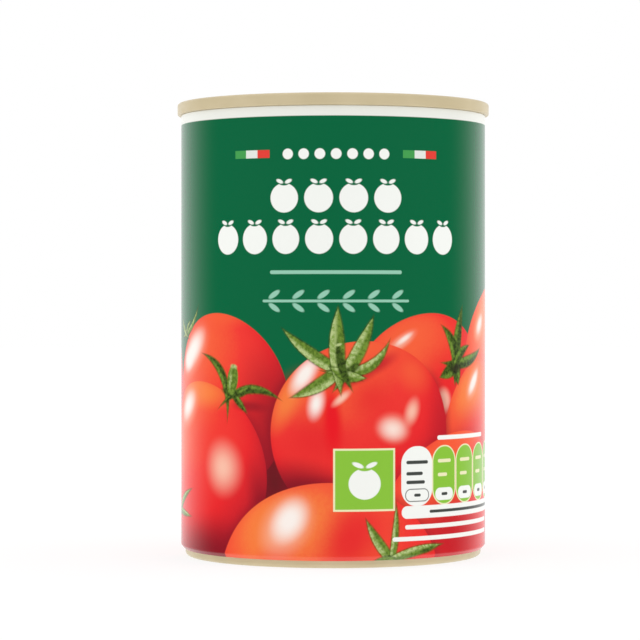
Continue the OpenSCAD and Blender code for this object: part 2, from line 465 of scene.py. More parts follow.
def label_section():
    """Outer and inner side of the paper in the (r, z) half-plane: up outside, then down inside."""
    slope = math.atan2(SHOULDER_H, NECK_IN)
    tail_r, tail_z = NECK_R + TAIL, NECK_H + TAIL
    outer = [(tail_r + PAPER * math.sin(slope), tail_z - PAPER * math.cos(slope)),
             (BODY_R - 0.2 * MM + PAPER * 0.8, SHOULDER_Z - 0.28 * MM),
             (BODY_R + PAPER * 0.95, SHOULDER_Z - 0.02 * MM), (WRAP_R, SHOULDER_Z + 0.3 * MM)]
    outer += [(WRAP_R, z) for z in plain_rings(SHOULDER_Z + 3 * MM, WRAP_TOP_Z, 8 * MM)]
    inner = [(BODY_R, WRAP_TOP_Z), (BODY_R, SHOULDER_Z + 0.1 * MM), (tail_r, tail_z)]
    return outer, inner


def bake_height(strip, row, outer, inner):
    """Second bake coordinate: the outside has nearly all of it, and the hidden strips lie below."""
    if strip < len(outer) - 1:
        return 0.06 + 0.94 * outer[row][1] / WRAP_TOP_Z
    return 0.05 * (strip - len(outer) + (row != strip) + 1) / (len(inner) + 1)


def make_label():
    """Paper sleeve with its thickness, tucked in over the shoulder, and lapped at the back."""
    outer, inner = label_section()
    cut, sharp = 0.5 + LAP_W / 2 / WRAP_R / TURN, 1e-5
    shares = sorted([i / LABEL_STEPS for i in range(LABEL_STEPS)] + [cut - sharp, cut + sharp])
    build = bmesh.new()
    bake = build.loops.layers.uv.new("OFBake")
    columns = []
    for share in shares:
        turn = share * TURN
        rise = LAP_RISE * PAPER * lap_rise(turn)
        section = [(r + rise, z) for r, z in outer] + inner
        columns.append([build.verts.new((r * math.sin(turn), -r * math.cos(turn), z))
                        for r, z in section])
    rows = len(outer) + len(inner)
    for i, share in enumerate(shares):
        j = (i + 1) % len(shares)
        share_next = shares[j] if j else 1.0
        for k in range(rows):
            m = (k + 1) % rows
            face = build.faces.new((columns[i][k], columns[j][k], columns[j][m], columns[i][m]))
            corners = ((share, k), (share_next, k), (share_next, m), (share, m))
            for loop, (u, row) in zip(face.loops, corners):
                loop[bake].uv = (u, bake_height(k, row, outer, inner))
    return finish_mesh("wrap", build)


# ---------------------------------------------------------------- shader helpers
def srgb(red, green, blue):
    """Colour for a shader from screen values of 0 to 255."""
    shares = [c / 255 for c in (red, green, blue)]
    linear = [c / 12.92 if c <= 0.04045 else ((c + 0.055) / 1.055) ** 2.4 for c in shares]
    return (*linear, 1.0)


def node(tree, kind, inputs=None, **settings):
    """Adds a node; inputs maps a socket's name or number to a value or to another socket."""
    made = tree.nodes.new(kind)
    for name, value in settings.items():
        setattr(made, name, value)
    for key, value in (inputs or {}).items():
        if isinstance(value, bpy.types.NodeSocket):
            tree.links.new(value, made.inputs[key])
        else:
            made.inputs[key].default_value = value
    return made


def maths(tree, operation, *values):
    """Result of one Math node."""
    return node(tree, "ShaderNodeMath", dict(enumerate(values)), operation=operation).outputs[0]


def ramp(tree, value, low, high, at_low, at_high):
    """Smooth ramp of a value between two limits, which holds its end values outside them.

    The smooth step holds them by itself. The node's own clamp stays off, because the hundreds of
    masks on the label would then need more shader memory than Cycles has, and it would turn black."""
    made = node(tree, "ShaderNodeMapRange", {"Value": value, 1: low, 2: high, 3: at_low, 4: at_high},
                interpolation_type="SMOOTHSTEP", clamp=False)
    return made.outputs[0]


def blend(tree, share, first, second):
    """Mixes two colours."""
    made = node(tree, "ShaderNodeMix", {0: share, 6: first, 7: second}, data_type="RGBA")
    return made.outputs[2]


def new_material(name):
    """Empty node material with a Principled shader wired to its output."""
    made = bpy.data.materials.new(name)
    made.use_nodes = True
    tree = made.node_tree
    tree.nodes.clear()
    shader = node(tree, "ShaderNodeBsdfPrincipled")
    node(tree, "ShaderNodeOutputMaterial", {"Surface": shader.outputs[0]})
    return made, tree, shader


# ---------------------------------------------------------------- metal materials
# Fineness of the rolling lines, in lines to the metre
GRAIN = 900


def metal(name, colour, deep, ring, metallic, rough):
    """Lacquered or bright tinplate: faint rolling grain, blotches and small changes of sheen.

    metallic and rough each give a value inside a ring about the axis and one from there out."""
    made, tree, shader = new_material(name)
    place = node(tree, "ShaderNodeTexCoord").outputs["Object"]
    streaks = node(tree, "ShaderNodeMapping", {"Vector": place, "Scale": (GRAIN, GRAIN * 0.06, GRAIN)})
    lines = node(tree, "ShaderNodeTexNoise", {"Vector": streaks.outputs[0], "Scale": 1.0, "Detail": 3.0})
    blotch = node(tree, "ShaderNodeTexNoise", {"Vector": place, "Scale": 90.0, "Detail": 2.0})
    share = ramp(tree, blotch.outputs[0], 0.35, 0.7, 0.0, 1.0)
    tree.links.new(blend(tree, share, deep, colour), shader.inputs["Base Color"])
    flat = node(tree, "ShaderNodeVectorMath", {0: place, 1: (1, 1, 0)}, operation="MULTIPLY").outputs[0]
    radius = node(tree, "ShaderNodeVectorMath", {0: flat}, operation="LENGTH").outputs["Value"]
    inner, outer = ring - 0.6 * MM, ring + 0.3 * MM
    if metallic[0] == metallic[1]:
        shader.inputs["Metallic"].default_value = metallic[0]
    else:
        tree.links.new(ramp(tree, radius, inner, outer, *metallic), shader.inputs["Metallic"])
    sheen = ramp(tree, lines.outputs[0], 0.3, 0.7, 0.85, 1.2)
    tree.links.new(maths(tree, "MULTIPLY", sheen, ramp(tree, radius, inner, outer, *rough)),
                   shader.inputs["Roughness"])
    bump = node(tree, "ShaderNodeBump", {"Height": lines.outputs[0], "Strength": 0.05,
                                         "Distance": 0.02 * MM})
    tree.links.new(bump.outputs[0], shader.inputs["Normal"])
    return made


# ---------------------------------------------------------------- the label's print
FIELD = srgb(2, 104, 63)
WHITE = srgb(246, 248, 243)
BAND = srgb(238, 239, 232)
CREAM = srgb(240, 236, 190)
MINT = srgb(150, 205, 180)
APPLE = srgb(140, 198, 60)
FLAG_GREEN = srgb(75, 170, 85)
FLAG_RED = srgb(250, 50, 50)
MAROON = srgb(104, 26, 32)
INK = srgb(70, 74, 70)

# The title's middle line, the heights between which the green turns into the white band, and how
# far to each side the tomatoes round the back begin, in millimetres. FAR_COUNT is how many of them
# one row would have round the whole tin.
TITLE_S = 0.7
FIELD_END = (103.62, 103.86)
FAR_START = (47.5, 48.0)
FAR_COUNT = 9


class Print:
    """Lays flat or soft shapes one over another on the label, in its own millimetres.

    A place is a socket with s, z and 1, and a mask is a socket from 0 to 1."""

    def __init__(self, tree, ground):
        self.tree, self.colour = tree, ground
        self.point = node(tree, "ShaderNodeTexCoord").outputs["Object"]
        axes = node(tree, "ShaderNodeSeparateXYZ", {0: self.point}).outputs
        turn = maths(tree, "ARCTAN2", axes[0], maths(tree, "MULTIPLY", axes[1], -1.0))
        self.across = maths(tree, "MULTIPLY", turn, WRAP_R / MM)
        self.up = maths(tree, "MULTIPLY", axes[2], 1 / MM)
        self.place = self.join(self.across, self.up)
        noise = node(tree, "ShaderNodeTexNoise", {"Vector": self.point, "Scale": 1.4 / MM, "Detail": 4.0})
        self.mottle = noise.outputs[0]
        self.middle = maths(tree, "MULTIPLY_ADD", self.mottle, 0.05, 0.475)
        speck = ramp(tree, self.mottle, 0.36, 0.62, 0.0, 1.0)
        self.leaf_dark = blend(tree, speck, srgb(46, 62, 22), srgb(76, 102, 34))
        self.leaf = blend(tree, speck, srgb(86, 116, 36), srgb(118, 148, 54))
        self.leaf_pale = blend(tree, speck, srgb(136, 164, 78), srgb(188, 204, 138))

    def join(self, across, up):
        """Place on the label with a 1 behind it, so that one dot product can also shift it."""
        return node(self.tree, "ShaderNodeCombineXYZ", {0: across, 1: up, 2: 1.0}).outputs[0]

    def vector(self, operation, first, second=(0, 0, 0)):
        """One Vector Math node."""
        return node(self.tree, "ShaderNodeVectorMath", {0: first, 1: second}, operation=operation)

    def local(self, at, size, turn=0.0, place=None):
        """Two coordinates about a point, turned by an angle in degrees and divided by two sizes."""
        c, s = math.cos(math.radians(turn)), math.sin(math.radians(turn))
        along = (c / size[0], s / size[0], -(c * at[0] + s * at[1]) / size[0])
        aside = (-s / size[1], c / size[1], (s * at[0] - c * at[1]) / size[1])
        place = place or self.place
        return [self.vector("DOT_PRODUCT", place, row).outputs["Value"] for row in (along, aside)]

    def reach(self, at, size, turn=0.0, place=None):
        """Distance from an ellipse's middle, as a share of its radius."""
        along, aside = self.local(at, size, turn, place)
        squares = maths(self.tree, "MULTIPLY_ADD", along, along, maths(self.tree, "MULTIPLY", aside, aside))
        return maths(self.tree, "SQRT", squares)

    def ellipse(self, at, size, turn=0.0, core=None, amount=1.0, place=None):
        """Mask of an ellipse; core is the share of its radius out to which the mask is full."""
        if core is None:
            core = 1 - 0.25 / min(size)
        return ramp(self.tree, self.reach(at, size, turn, place), core, 1.0, amount, 0.0)

    def box(self, at, size, corner=0.3, edge=0.2, place=None):
        """Mask of a rectangle with rounded corners; size is its half width and half height."""
        offset = self.vector("SUBTRACT", place or self.place, (*at, 1.0)).outputs[0]
        folded = self.vector("ABSOLUTE", offset).outputs[0]
        past = self.vector("SUBTRACT", folded, (size[0] - corner, size[1] - corner, 0)).outputs[0]
        gap = self.vector("LENGTH", self.vector("MAXIMUM", past).outputs[0]).outputs["Value"]
        return ramp(self.tree, gap, corner - edge / 2, corner + edge / 2, 1.0, 0.0)

    def repeated(self, start, pitch, z):
        """Place on the label that starts again at even steps, with 0 at the middle of each step."""
        moved = maths(self.tree, "SUBTRACT", self.across, start)
        folded = maths(self.tree, "FLOORED_MODULO", moved, pitch)
        return self.join(maths(self.tree, "SUBTRACT", folded, pitch / 2),
                         maths(self.tree, "SUBTRACT", self.up, z))

    def both(self, first, second):
        """Mask of what two masks share."""
        return maths(self.tree, "MULTIPLY", first, second)

    def lay(self, colour, mask):
        """Lays a colour over the print so far, where the mask lets it."""
        self.colour = blend(self.tree, mask, self.colour, colour)

    def petal(self, root, tip, width, bow, colour, light=None, edge=0.14):
        """Tapered leaf from root to tip, bowed to its left by bow times its length."""
        tree = self.tree
        run, rise = tip[0] - root[0], tip[1] - root[1]
        length, half = math.hypot(run, rise), width / 2
        along, aside = self.local(root, (length, half), math.degrees(math.atan2(rise, run)))
        left = maths(tree, "SUBTRACT", 1.0, along)
        arch = maths(tree, "MULTIPLY", along, left)
        aside = maths(tree, "MULTIPLY_ADD", arch, -4 * bow * length / half, aside)
        wide = maths(tree, "MULTIPLY", left, maths(tree, "MULTIPLY_ADD", along, 1.7, 0.55))
        over = maths(tree, "SUBTRACT", maths(tree, "ABSOLUTE", aside), wide)
        mask = ramp(tree, over, -edge / half, edge / half, 1.0, 0.0)
        self.lay(self.leaf_dark, ramp(tree, over, 0.0, 0.55 / half, 0.75, 0.0))
        self.lay(colour, mask)
        if light:
            bright = ramp(tree, aside, -0.2, 0.4, 0.0, 1.0)
            self.lay(light, self.both(bright, mask))


# The tomatoes' colours, from their brightest lights to their shade
SHINE = srgb(253, 243, 236)
BLUSH = srgb(251, 196, 172)
AMBER = srgb(250, 130, 60)
ORANGE = srgb(249, 96, 54)
FLAME = srgb(244, 54, 46)
PURE_RED = srgb(238, 12, 28)
SCARLET = srgb(235, 34, 38)
CRIMSON = srgb(196, 24, 38)
WINE = srgb(132, 18, 34)
# Tones of a tomato from its dark side to its lit side, each with its place from 0 to 1
RIPE = ((0.1, WINE), (0.45, CRIMSON), (0.66, SCARLET), (0.86, FLAME), (1.0, ORANGE))
WARM = ((0.1, CRIMSON), (0.45, SCARLET), (0.74, FLAME), (0.93, ORANGE), (1.0, AMBER))
# Where the printed light comes from: from the left, from above and from in front
LIGHT_WAY = (-0.35, 0.65, 0.67)


def toned(tree, value, tones):
    """Colour picked from a row of (place, colour) by a value from 0 to 1."""
    made = node(tree, "ShaderNodeValToRGB", {0: value})
    stops = made.color_ramp.elements
    for place, colour in tones[1:-1]:
        stops.new(place)
    for stop, (place, colour) in zip(stops, tones):
        stop.position = place
        stop.color = colour
    return made.outputs[0]


def tomato(art, at, size, turn, tones, marks, place=None, span=None):
    """One printed tomato, toned as a lit ball, with soft marks laid over it.

    Marks are (colour, at, size, turn, core, amount). A place from art.repeated makes a row of the
    tomato, and span is a mask of where it may show."""
    tree = art.tree
    along, aside = art.local(at, size, turn, place)
    squares = maths(tree, "MULTIPLY_ADD", along, along, maths(tree, "MULTIPLY", aside, aside))
    body = ramp(tree, squares, 1 - 0.5 / min(size), 1.0, 1.0, 0.0)
    if span:
        body = art.both(body, span)
    depth = maths(tree, "SQRT", maths(tree, "MAXIMUM", maths(tree, "SUBTRACT", 1.0, squares), 0.0))
    c, s = math.cos(math.radians(turn)), math.sin(math.radians(turn))
    x, y, z = LIGHT_WAY
    lit = maths(tree, "MULTIPLY_ADD", depth, z / 2, art.middle)
    lit = maths(tree, "MULTIPLY_ADD", along, (x * c + y * s) / 2, lit)
    lit = maths(tree, "MULTIPLY_ADD", aside, (y * c - x * s) / 2, lit)
    art.lay(toned(tree, lit, tones), body)
    for colour, spot, extent, slant, core, amount in marks:
        art.lay(colour, art.both(art.ellipse(spot, extent, slant, core, amount, place), body))


def shade_behind(art, at, size, turn, top, amount):
    """Soft dark edge that a tomato throws on what lies behind it, below a height."""
    reach, fade = 2.6, 6
    grown = [half + reach for half in size]
    below = ramp(art.tree, art.up, top - fade, top, 1.0, 0.0)
    art.lay(WINE, art.both(art.ellipse(at, grown, turn, 0.84, amount), below))


def paint_back_row(art):
    """Tomatoes of the back row, from the left edge of the view to its right edge."""
    art.lay(MAROON, art.box((0, 14), (50, 24), 6, 1.0))
    tomato(art, (-63, 34), (15, 20), 0, RIPE, [])
    tomato(art, (-30.5, 37), (20.4, 21.6), 0, RIPE,
           [(ORANGE, (-29, 58), (13, 4), 0, 0.1, 0.8),
            (WINE, (-14, 36), (13, 19), 12, 0.1, 0.52),
            (ORANGE, (-45, 43), (8, 11), -30, 0.1, 0.7),
            (BLUSH, (-41, 49.4), (10.4, 5.6), 40, 0.0, 0.8),
            (SHINE, (-41.2, 49.7), (8.8, 3.8), 40, 0.15, 1.0),
            (SHINE, (-44, 47.4), (4.2, 3.2), 30, 0.2, 0.9)])
    tomato(art, (24.6, 38), (21, 20.6), 0, RIPE,
           [(SCARLET, (30, 43), (13, 10), -20, 0.0, 0.9),
            (ORANGE, (18, 54), (11, 5), 14, 0.0, 0.7),
            (BLUSH, (16.4, 52), (5.6, 2.0), 33, 0.0, 0.8),
            (SHINE, (17, 52.6), (3.4, 0.9), 33, 0.1, 0.8)])
    tomato(art, (56, 46), (19.6, 18.6), 0, WARM,
           [(BLUSH, (45.6, 55.4), (5.6, 3.4), 42, 0.1, 0.8),
            (SHINE, (45.8, 55.8), (3.8, 2.0), 42, 0.2, 0.9)])
    art.lay(BLUSH, art.ellipse((28.6, 38.2), (3.0, 3.8), 10, 0.3, 0.85))
    tomato(art, (48, 28), (19.6, 20.8), 0, WARM,
           [(AMBER, (38, 39), (9, 7), 45, 0.1, 0.7),
            (SCARLET, (43, 30), (17, 10), 0, 0.1, 0.85),
            (BLUSH, (41.4, 42), (6.2, 3.2), 46, 0.1, 0.8),
            (SHINE, (41.4, 42.2), (4.8, 1.7), 46, 0.3, 0.95)])


def paint_left_tomato(art):
    """Large tomato in front on the left, with the shade it throws behind it."""
    outline = ((-37.6, 20), (22, 22.6), -4)
    shade_behind(art, *outline, top=42, amount=0.6)
    tomato(art, *outline, RIPE,
           [(AMBER, (-38, 40.4), (17, 5.5), -4, 0.15, 0.95),
            (ORANGE, (-50, 30), (8, 13), -10, 0.1, 0.9),
            (FLAME, (-33, 29), (14, 9), 0, 0.0, 0.7),
            (WINE, (-34, 2), (24, 11), 0, 0.1, 0.85),
            (WINE, (-17, 14), (4.5, 14), 14, 0.0, 0.6),
            (BLUSH, (-28.4, 22.6), (7.4, 8.2), 10, 0.0, 0.95),
            (BLUSH, (-44.4, 36.2), (8.4, 5.4), 34, 0.0, 0.8),
            (SHINE, (-44.4, 36.6), (6.4, 3.5), 34, 0.1, 1.0)])


def paint_middle_tomato(art):
    """Large tomato in the middle, with its crease, its windows of light and the shade behind it."""
    outline = ((7.3, 31), (22.2, 21.2), 0)
    shade_behind(art, *outline, top=48, amount=0.6)
    tomato(art, *outline, RIPE,
           [(ORANGE, (8, 51), (15, 4), -4, 0.1, 0.85),
            (AMBER, (-10.5, 39), (4.5, 11), -24, 0.1, 0.9),
            (SCARLET, (-4, 30), (11, 9), 0, 0.1, 0.8),
            (WINE, (-6, 15), (18, 11), -16, 0.3, 0.9),
            (CRIMSON, (28, 30), (6, 17), 8, 0.0, 0.7),
            (ORANGE, (19, 45), (8, 6), -40, 0.0, 0.7),
            (CRIMSON, (9.6, 46.2), (8.4, 2.6), 28, 0.1, 0.9),
            (SCARLET, (9, 39), (9, 8), 0, 0.0, 0.7),
            (PURE_RED, (-0.2, 34), (3.2, 12), 3, 0.2, 1.0),
            (SHINE, (-6.6, 44.4), (3.0, 7.0), -34, 0.15, 1.0),
            (SHINE, (-3.9, 37.8), (2.6, 5.0), -12, 0.05, 1.0),
            (BLUSH, (1.9, 39.0), (3.6, 1.3), 40, 0.1, 1.0),
            (BLUSH, (14.2, 32), (5.4, 4.4), -12, 0.0, 0.9),
            (BLUSH, (19, 35.8), (2.5, 4.4), -18, 0.05, 0.9),
            (SHINE, (14.0, 31.8), (4.6, 3.4), -12, 0.0, 0.6)])


def paint_bottom_row(art):
    """The two tomatoes that the label's lower edge cuts off."""
    right, left = ((36, 8), (25, 23), 0), ((-1, -6), (28.6, 25.8), 0)
    shade_behind(art, *right, top=34, amount=0.35)
    tomato(art, *right, RIPE,
           [(ORANGE, (37, 30), (15, 4), 0, 0.2, 0.9),
            (CRIMSON, (32, 7), (22, 13), 0, 0.2, 0.85)])
    shade_behind(art, *left, top=26, amount=0.6)
    tomato(art, *left, WARM,
           [(AMBER, (-15, 9), (11, 13), -40, 0.1, 0.85),
            (FLAME, (8, 10), (12, 9), -20, 0.0, 0.9),
            (SCARLET, (3.5, 6), (9, 12), -24, 0.1, 0.9),
            (FLAME, (-14, 2), (9, 5), 30, 0.0, 0.5),
            (BLUSH, (-11, 9.6), (10.2, 7.2), 55, 0.0, 0.9),
            (SHINE, (-10.2, 11), (7.2, 5.0), 55, 0.15, 1.0)])


def paint_far_row(art):
    """Two staggered rows of tomatoes that carry the picture on round the back."""
    tree = art.tree
    far = ramp(tree, maths(tree, "ABSOLUTE", art.across), *FAR_START, 0.0, 1.0)
    pitch = TURN * WRAP_R / MM / FAR_COUNT
    art.lay(MAROON, art.both(far, ramp(tree, art.up, 14.0, 15.0, 1.0, 0.0)))
    for shift, z, size, tones in ((0.0, 17.0, (12.7, 15.5), RIPE), (0.5, 4.0, (12.7, 14.6), WARM)):
        place = art.repeated(pitch * (shift - 0.5), pitch, 0.0)
        tomato(art, (0, z), size, 0, tones,
               [(BLUSH, (-5.4, z + size[1] * 0.56), (5.0, 3.0), 34, 0.1, 0.85),
                (SHINE, (-5.4, z + size[1] * 0.58), (3.4, 1.7), 34, 0.2, 0.95)], place, far)


def star(art, root, leaves, colour, light):
    """Leaves from one root, each (tip, width, bow)."""
    for tip, width, bow in leaves:
        art.petal(root, tip, width, bow, colour, light)


def paint_back_leaves(art):
    """Sepals of the two tomatoes of the back row that show theirs."""
    bark = srgb(44, 40, 26)
    star(art, (-46, 53.4), [((-38.8, 59.2), 1.5, -0.1), ((-43, 56.6), 1.2, 0.08), ((-50, 57), 1.6, 0.05)],
         art.leaf, art.leaf_pale)
    star(art, (32.8, 46.6), [((35.4, 59.6), 3.8, 0.03), ((28.2, 55.4), 3.4, -0.12),
                             ((45.2, 49.7), 3.2, -0.06), ((27.4, 43.6), 4.0, 0.05),
                             ((33.8, 41.9), 3.6, 0.0), ((38.4, 50.8), 2.8, 0.1)],
         art.leaf_dark, art.leaf)
    art.lay(bark, art.ellipse((33, 45.6), (3.6, 1.7), 10, 0.2, 0.9))


def paint_left_leaves(art):
    """Sepals, their shade and the short cut stem of the front tomato on the left."""
    dark, leaf, pale = art.leaf_dark, art.leaf, art.leaf_pale
    art.lay(WINE, art.ellipse((-20.4, 37), (7, 1.8), -4, 0.1, 0.6))
    star(art, (-27.0, 39.8), [((-35.2, 48.8), 2.6, -0.16)], dark, leaf)
    star(art, (-25.0, 39.6), [((-13.2, 39.2), 2.4, 0.13), ((-20.2, 41.6), 2.0, -0.1),
                              ((-21.4, 35.8), 1.8, 0.0)], dark, leaf)
    art.lay(dark, art.ellipse((-26, 40.2), (3.4, 1.3), -12, 0.5))
    art.lay(leaf, art.ellipse((-25.3, 43.0), (1.75, 3.8), -8, 0.85))
    art.lay(pale, art.ellipse((-25.9, 43.2), (0.7, 3.0), -8, 0.1, 0.8))
    art.lay(pale, art.ellipse((-24.9, 46.1), (1.4, 0.8), -8, 0.3, 0.9))


def paint_middle_leaves(art):
    """Sepals, their shade and the stem of the middle tomato."""
    dark, leaf, pale = art.leaf_dark, art.leaf, art.leaf_pale
    art.lay(CRIMSON, art.ellipse((3, 43), (7.5, 2.0), 12, 0.2, 0.85))
    art.lay(WINE, art.ellipse((-3.6, 41.4), (6.4, 1.0), 26, 0.1, 0.6))
    star(art, (1.2, 45.4), [((-11.4, 54.5), 3.6, 0.04), ((-9.4, 39.3), 3.9, 0.06)], leaf, pale)
    star(art, (3.0, 44.8), [((13.0, 51.6), 3.0, -0.15), ((9.2, 57.4), 4.0, -0.03)], leaf, pale)
    star(art, (1.2, 45.0), [((1.1, 59.6), 4.6, 0.02), ((7.4, 43.6), 3.2, -0.06)], leaf, pale)
    art.petal((2.9, 43.8), (1.0, 51.8), 2.1, 0.04, dark, dark)
    art.lay(dark, art.ellipse((4.6, 45.9), (2.6, 1.3), 24, 0.3, 0.8))
    art.lay(pale, art.ellipse((1.2, 51.3), (1.1, 0.45), 12, 0.4, 0.9))


def paint_low_leaves(art):
    """Sepals near the label's lower edge, on the right and at the left end of the view."""
    star(art, (13.8, 1.8), [((7.8, 10.8), 3.0, 0.04), ((14.9, 14), 2.0, -0.03), ((27.2, 4.8), 2.8, 0.03),
                            ((9.6, 1.4), 2.6, 0.0)], art.leaf, art.leaf_pale)
    art.lay(art.leaf_dark, art.ellipse((23.2, 3.6), (3.6, 0.9), 12, 0.2, 0.9))
    star(art, (-53.4, 11.2), [((-43, 16.6), 2.0, 0.04), ((-43.4, 10.4), 1.6, 0.0)],
         art.leaf, art.leaf_pale)


def repeat(art, centre, pitch, count, z):
    """Coordinates that start again for each of a row of shapes, and the mask of the row's span."""
    place = art.repeated(centre - pitch * count / 2, pitch, z)
    return place, art.box((centre, z), (pitch * count / 2, pitch * 2), 0.1)


def fruit_row(art, centre, z, pitch, count, size):
    """Row of plain white plum shapes, each with a notch of ground colour and a leaf on top."""
    place, span = repeat(art, centre, pitch, count, z)
    fruit = art.ellipse((0, -0.45), size, place=place)
    notch = art.ellipse((0, size[1] - 0.2), (size[0] * 0.5, 1.05), place=place)
    art.lay(WHITE, art.both(fruit, span))
    art.lay(FIELD, art.both(notch, span))
    for side in (-1, 1):
        leaf = art.ellipse((side * size[0] * 0.3, size[1] - 0.15), (size[0] * 0.32, 0.55), side * 24,
                           place=place)
        art.lay(WHITE, art.both(leaf, span))


def sprig(art, centre, z, length, leaves, colour):
    """Level stem with a pair of small leaves at even steps."""
    art.lay(colour, art.box((centre, z), (length / 2, 0.3), 0.3))
    place, span = repeat(art, centre, length / leaves, leaves, z)
    for side in (-1, 1):
        leaf = art.ellipse((0, side * 1.5), (1.9, 0.72), side * 34, place=place)
        art.lay(colour, art.both(leaf, span))


def flag(art, centre, z):
    """Small three-coloured bar."""
    for step, colour in ((-1, FLAG_GREEN), (0, WHITE), (1, FLAG_RED)):
        art.lay(colour, art.box((centre + 3.1 * step, z), (1.56, 0.9), 0.05))


def paint_title(art, centre):
    """Plain shapes in the place of the title: flags, dots, two rows of fruit, a rule and a sprig."""
    flag(art, centre - 20.4, 95.1)
    flag(art, centre + 20.6, 95.1)
    place, span = repeat(art, centre, 3.75, 7, 95.0)
    art.lay(WHITE, art.both(art.ellipse((0, 0), (1.35, 1.35), place=place), span))
    fruit_row(art, centre, 85.4, 8.1, 4, (3.45, 3.5))
    fruit_row(art, centre, 76.0, 7.85, 8, (3.35, 3.6))
    art.lay(MINT, art.box((centre, 67.9), (15.6, 0.42), 0.4))
    sprig(art, centre, 61.3, 35.0, 6, MINT)


def ruled(art, colour, left, right, tops, half=0.42):
    """Thin level bars in the place of lines of small print; tops gives each bar's height and share."""
    for z, share in tops:
        width = (right - left) * share
        art.lay(colour, art.box((left + width / 2, z), (width / 2, half), half))


def ruled_rows(art, colour, left, right, top, pitch, shares, half=0.4):
    """Bars at even steps down from a height, each with its own share of the width."""
    ruled(art, colour, left, right, [(top - pitch * i, share) for i, share in enumerate(shares)], half)


def paint_badge(art):
    """Apple-green square with a cream border and a plain fruit shape."""
    s, z = 7.3, 20.3
    art.lay(CREAM, art.box((s, z), (7.3, 7.2), 0.1))
    art.lay(APPLE, art.box((s, z), (6.85, 6.75), 0.1))
    art.lay(WHITE, art.ellipse((s, z - 0.9), (3.9, 3.7)))
    art.lay(APPLE, art.ellipse((s, z + 2.7), (2.0, 0.8)))
    for side in (-1, 1):
        art.lay(WHITE, art.ellipse((s + side * 1.6, z + 3.4), (1.7, 0.65), side * 22))


def paint_tablet(art, s, z, foot):
    """Apple-green tablet with a cream border, two short bars and a white foot."""
    art.lay(CREAM, art.box((s, z), (4.0, 6.9), 3.8))
    art.lay(APPLE, art.box((s, z), (3.65, 6.6), 3.5))
    ruled(art, CREAM, s - 2.2, s + 2.2, [(z + 3.3, 1.0), (z + 0.1, 0.7)], 0.4)
    art.lay(WHITE, art.box((s, foot), (3.0, 1.45), 1.4))
    ruled(art, INK, s - 1.0, s + 1.0, [(foot, 1.0)], 0.35)


def paint_panel(art):
    """Row of five rounded tablets over a white bar, with plain marks in place of figures."""
    first, green, pitch = 20.5, 28.75, 8.05
    z, foot, bar = 20.9, 16.5, 12.6
    for height, left, right in ((29.6, 26.4, 47.4), (9.2, 17.2, 52.0), (6.5, 14.0, 52.0)):
        ruled(art, WHITE, left, right, [(height, 1.0)], 0.5)
    art.lay(WHITE, art.box((first, z), (4.3, 6.9), 4.0))
    for i in range(4):
        paint_tablet(art, green + pitch * i, z, foot)
    ruled(art, INK, first - 3, first + 3, [(24.1, 1.0), (21.5, 0.75), (19.5, 0.85)], 0.4)
    art.lay(INK, art.box((first, foot), (3.3, 1.5), 1.45))
    art.lay(WHITE, art.box((first, foot), (3.1, 1.3), 1.25))
    ruled(art, INK, first - 0.9, first + 0.9, [(foot, 1.0)], 0.35)
    art.lay(WHITE, art.box((37.0, bar), (20.7, 1.45), 1.4))
    ruled(art, INK, 24.0, 54.0, [(bar, 1.0)], 0.35)


def paint_small_print(art):
    """Plain bars in the place of small print, with a leafy sprig under them."""
    left, right = 74, 108
    ruled(art, WHITE, left, right, [(91.5, 0.62)], 0.9)
    ruled_rows(art, MINT, left, right, 86, 3.1, (1.0, 0.94, 0.98, 0.55, 0.0, 1.0, 0.9, 0.97, 0.4), 0.42)
    sprig(art, (left + right) / 2, 50.0, 30.0, 5, MINT)


def paint_table(art):
    """Cream table with a dark head, ruled rows and two columns of short bars."""
    centre, head, pitch = -91, 91.6, 4.6
    first_rule, first_row = head - 5.0, head - 7.4
    art.lay(CREAM, art.box((centre, 68), (18.6, 27.5), 1.2))
    art.lay(INK, art.box((centre, head), (17.0, 1.3), 0.2))
    ruled_rows(art, INK, centre - 17, centre + 17, first_rule, pitch, [1.0] * 10, 0.11)
    ruled_rows(art, INK, centre - 16, centre - 5, first_row, pitch,
               (0.9, 0.6, 0.75, 1.0, 0.55, 0.8, 0.5, 0.7, 0.62))
    ruled_rows(art, INK, centre + 7, centre + 15, first_row, pitch,
               (0.9, 0.7, 0.8, 0.7, 0.85, 0.7, 0.75, 0.7, 0.8))


def paint_cut_edge(art):
    """White edge of the paper where the label overlaps itself."""
    cut = (LAP_W / 2 - math.pi * WRAP_R) / MM
    art.lay(BAND, art.box((cut, WRAP_TOP_Z / MM / 2), (0.14, WRAP_TOP_Z / MM), 0.05))


def make_print():
    """Glossy printed paper: the front's picture, and plain panels round the back."""
    made, tree, shader = new_material("paper_print")
    art = Print(tree, FIELD)
    paint_far_row(art)
    paint_back_row(art)
    paint_left_tomato(art)
    paint_middle_tomato(art)
    paint_bottom_row(art)
    paint_back_leaves(art)
    paint_left_leaves(art)
    paint_middle_leaves(art)
    paint_low_leaves(art)
    paint_title(art, TITLE_S)
    paint_badge(art)
    paint_panel(art)
    paint_small_print(art)
    paint_table(art)
    paint_cut_edge(art)
    art.lay(BAND, ramp(tree, art.up, *FIELD_END, 0.0, 1.0))
    tree.links.new(art.colour, shader.inputs["Base Color"])
    shader.inputs["Roughness"].default_value = 0.2
    shader.inputs["IOR"].default_value = 1.5
    fibre = node(tree, "ShaderNodeTexNoise", {"Vector": art.point, "Scale": 3.0 / MM, "Detail": 4.0})
    bump = node(tree, "ShaderNodeBump", {"Height": fibre.outputs[0], "Strength": 0.05,
                                         "Distance": 0.01 * MM})
    tree.links.new(bump.outputs[0], shader.inputs["Normal"])
    return made


